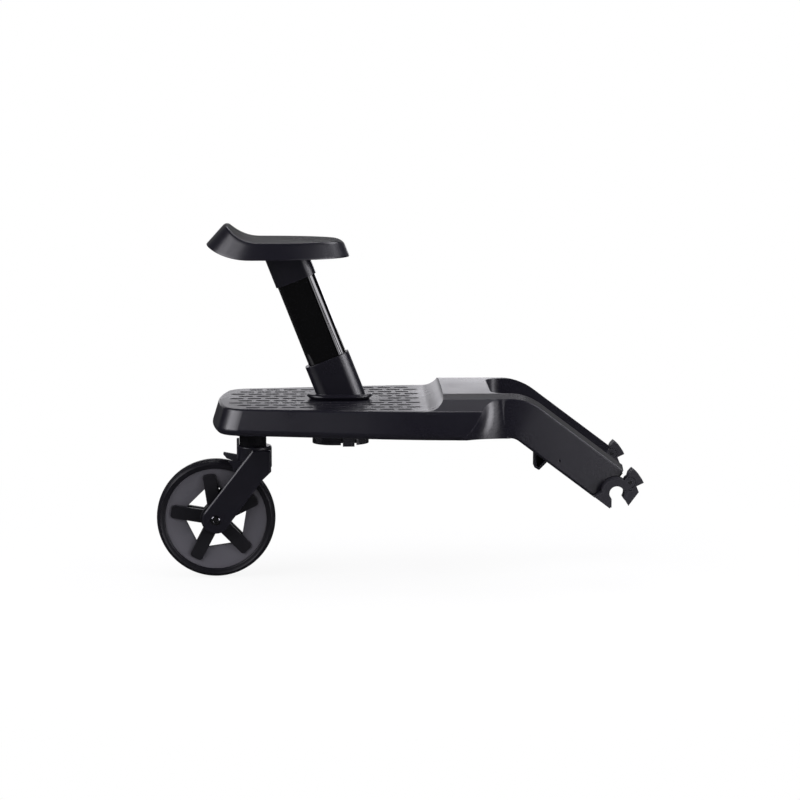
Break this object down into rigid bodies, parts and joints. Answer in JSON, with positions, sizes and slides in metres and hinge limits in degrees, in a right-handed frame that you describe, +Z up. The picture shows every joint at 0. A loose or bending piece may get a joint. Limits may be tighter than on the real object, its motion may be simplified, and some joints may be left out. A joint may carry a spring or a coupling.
{
  "type": "buggy board",
  "caption": "Ride-on board for a stroller: a ribbed standing deck with a saddle seat on a leaning post, a swivel caster and a forked arm with sprung axle clips.",
  "frame": {"origin": "on the floor under the middle of the bounding box", "axes": "+X towards the stroller's axle, +Y to the rider's left when facing it, +Z up"},
  "size_m": [0.6029, 0.2608, 0.4465],
  "materials": {
    "black_plastic": "moulded nylon, fine satin grain",
    "grip_rubber": "matt grip rubber",
    "clip_plastic": "coarse matt grain",
    "bush_plastic": "natural acetal",
    "tyre_rubber": "matt foam rubber",
    "grey_plastic": "satin dark grey",
    "tube_gloss": "gloss black anodised",
    "steel": "zinc plated",
    "black_steel": "blackened"
  },
  "bodies": {
    "board": {"deck_shell": "black_plastic", "grip_ribs": "grip_rubber", "underside_cover": "black_plastic", "cover_screws": "steel", "left_arm_cover": "black_plastic", "right_arm_cover": "black_plastic", "left_axle_clip": "clip_plastic", "right_axle_clip": "clip_plastic", "left_jaw_pin": "black_steel", "right_jaw_pin": "black_steel", "left_jaw_spring": "steel", "right_jaw_spring": "steel", "clip_screws": "steel", "caster_housing": "black_plastic", "lower_swivel_bush": "bush_plastic", "upper_swivel_bush": "bush_plastic", "seat_socket": "black_plastic", "socket_cap": "black_plastic", "release_spring": "steel"},
    "caster": {"caster_fork": "black_plastic", "kingpin": "steel", "kingpin_circlip": "steel", "thrust_washer": "clip_plastic", "axle_bolt": "black_steel", "axle_nut": "steel", "axle_spacers": "steel", "lock_detent": "steel"},
    "wheel": {"tyre": "tyre_rubber", "rim_ring": "black_plastic", "left_rim_disc": "grey_plastic", "right_rim_disc": "grey_plastic", "wheel_star": "black_plastic", "left_wheel_bearing": "steel", "right_wheel_bearing": "steel", "bearing_spacer": "steel"},
    "swivel_lock": {"swivel_lock": "clip_plastic"},
    "seat": {"post_plug": "black_plastic", "post_screws": "steel", "lower_sleeve": "black_plastic", "post_tube": "tube_gloss", "upper_sleeve": "black_plastic", "seat_base": "black_plastic", "seat_shell": "black_plastic", "seat_screws": "steel"},
    "release_slider": {"seat_release": "clip_plastic"},
    "right_jaw": {"right_clip_jaw": "clip_plastic"},
    "left_jaw": {"left_clip_jaw": "clip_plastic"}
  },
  "joints": [
    {"name": "caster_swivel", "type": "hinge", "parent": "board", "child": "caster", "pos_m": [-0.17945, 0, 0.167], "axis": [0, 0, 1], "continuous": true},
    {"name": "wheel_spin", "type": "hinge", "parent": "caster", "child": "wheel", "pos_m": [-0.22645, 0, 0.075], "axis": [0, 1, 0], "continuous": true},
    {"name": "lock_slide", "type": "slide", "parent": "caster", "child": "swivel_lock", "axis": [0, 0, 1], "range_m": [0, 0.01]},
    {"name": "seat_lift", "type": "slide", "parent": "board", "child": "seat", "axis": [0, 0, 1], "range_m": [0, 0.075]},
    {"name": "release_press", "type": "slide", "parent": "board", "child": "release_slider", "axis": [0, 1, 0], "range_m": [0, 0.004], "stiffness_N_per_m": 900, "springref_m": -0.002, "deforming": ["release_spring"]},
    {"name": "right_jaw_open", "type": "hinge", "parent": "board", "child": "right_jaw", "pos_m": [0.28464, -0.109, 0.1379], "axis": [0, -1, 0], "range_deg": [0, 18], "stiffness_Nm_per_rad": 0.4, "springref_deg": -11.46},
    {"name": "left_jaw_open", "type": "hinge", "parent": "board", "child": "left_jaw", "pos_m": [0.28464, 0.109, 0.1379], "axis": [0, -1, 0], "range_deg": [0, 18], "stiffness_Nm_per_rad": 0.4, "springref_deg": -11.46}
  ]
}
